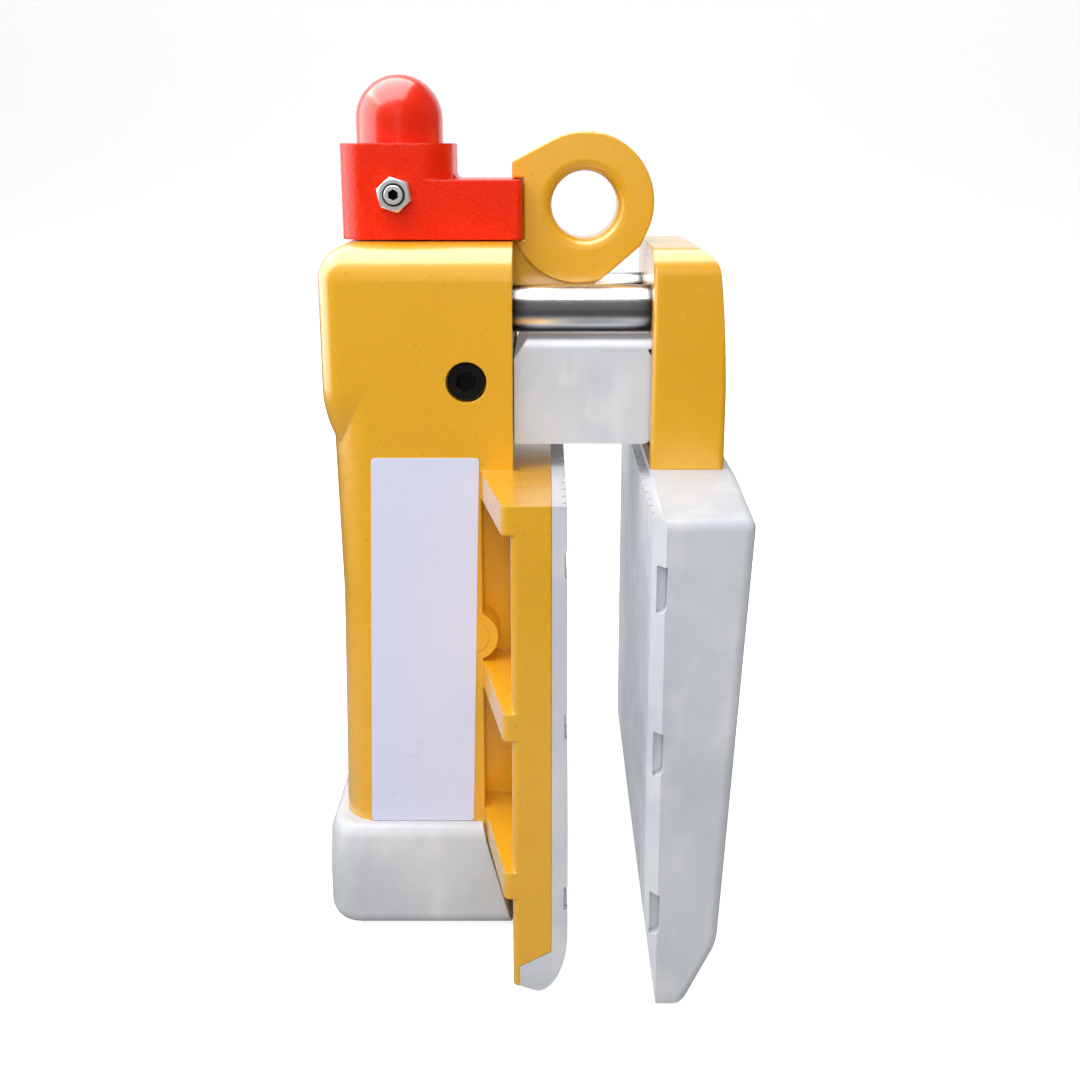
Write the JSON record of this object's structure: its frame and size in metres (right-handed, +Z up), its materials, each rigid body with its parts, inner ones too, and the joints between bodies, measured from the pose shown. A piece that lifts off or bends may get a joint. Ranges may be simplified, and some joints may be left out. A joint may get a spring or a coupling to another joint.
{
  "type": "slab lifter",
  "caption": "Vertical slab lifter: raising the eye draws the moving jaw on its guide rods towards the fixed jaw, and a latch under a red dome holds the jaws open.",
  "frame": {"origin": "middle of the lifter's box, on the surface that it stands on", "axes": "+X from the body towards the moving jaw, +Y across the jaws, +Z up"},
  "size_m": [0.182, 0.208, 0.3816],
  "materials": {
    "yellow_paint": "satin enamel",
    "grey_rubber": "matt, light grey",
    "red_paint": "textured enamel",
    "red_gloss": "glossy",
    "bright_rod": "ground and hard chromed",
    "black_steel": "black oxide",
    "zinc_steel": "bright zinc",
    "plain_steel": "machined",
    "bronze": "machined"
  },
  "bodies": {
    "frame": {"main_body": "yellow_paint", "fixed_jaw_pad": "grey_rubber", "foot_boot": "grey_rubber", "rod_bushes": "bronze", "bumper_core": "plain_steel", "slab_bumper": "grey_rubber", "bumper_screws": "black_steel", "link_guide_rear": "bronze", "link_guide_front": "bronze", "lower_guide_pin": "plain_steel", "latch_post": "plain_steel", "latch_retainer": "plain_steel"},
    "jaw": {"moving_jaw_bridge": "yellow_paint", "moving_jaw_core": "plain_steel", "moving_jaw_pad": "grey_rubber", "guide_rod_near": "bright_rod", "guide_rod_far": "bright_rod", "rod_screws": "black_steel", "crosshead_near": "plain_steel", "crosshead_far": "plain_steel", "crosshead_screws": "black_steel"},
    "lift": {"lifting_link": "yellow_paint", "cam_pin": "plain_steel", "cam_pin_rings": "plain_steel", "latch_housing": "red_paint", "housing_screws": "black_steel", "latch_cap": "red_gloss", "follower_screws": "zinc_steel", "follower_locknuts": "zinc_steel"},
    "latch": {"latch_barrel": "plain_steel"}
  },
  "joints": [
    {"name": "jaw_slide", "type": "slide", "parent": "frame", "child": "jaw", "axis": [-1, 0, 0], "range_m": [0, 0.022]},
    {"name": "lift_slide", "type": "slide", "parent": "frame", "child": "lift", "axis": [0, 0, 1], "range_m": [0, 0.036]},
    {"name": "latch_turn", "type": "hinge", "parent": "frame", "child": "latch", "pos_m": [-0.0538, 0, 0.336], "axis": [0, 0, 1], "range_deg": [0, 60]}
  ],
  "couplings": [
    {"joint": "lift_slide", "follows": "jaw_slide", "ratio": 1.6364}
  ]
}
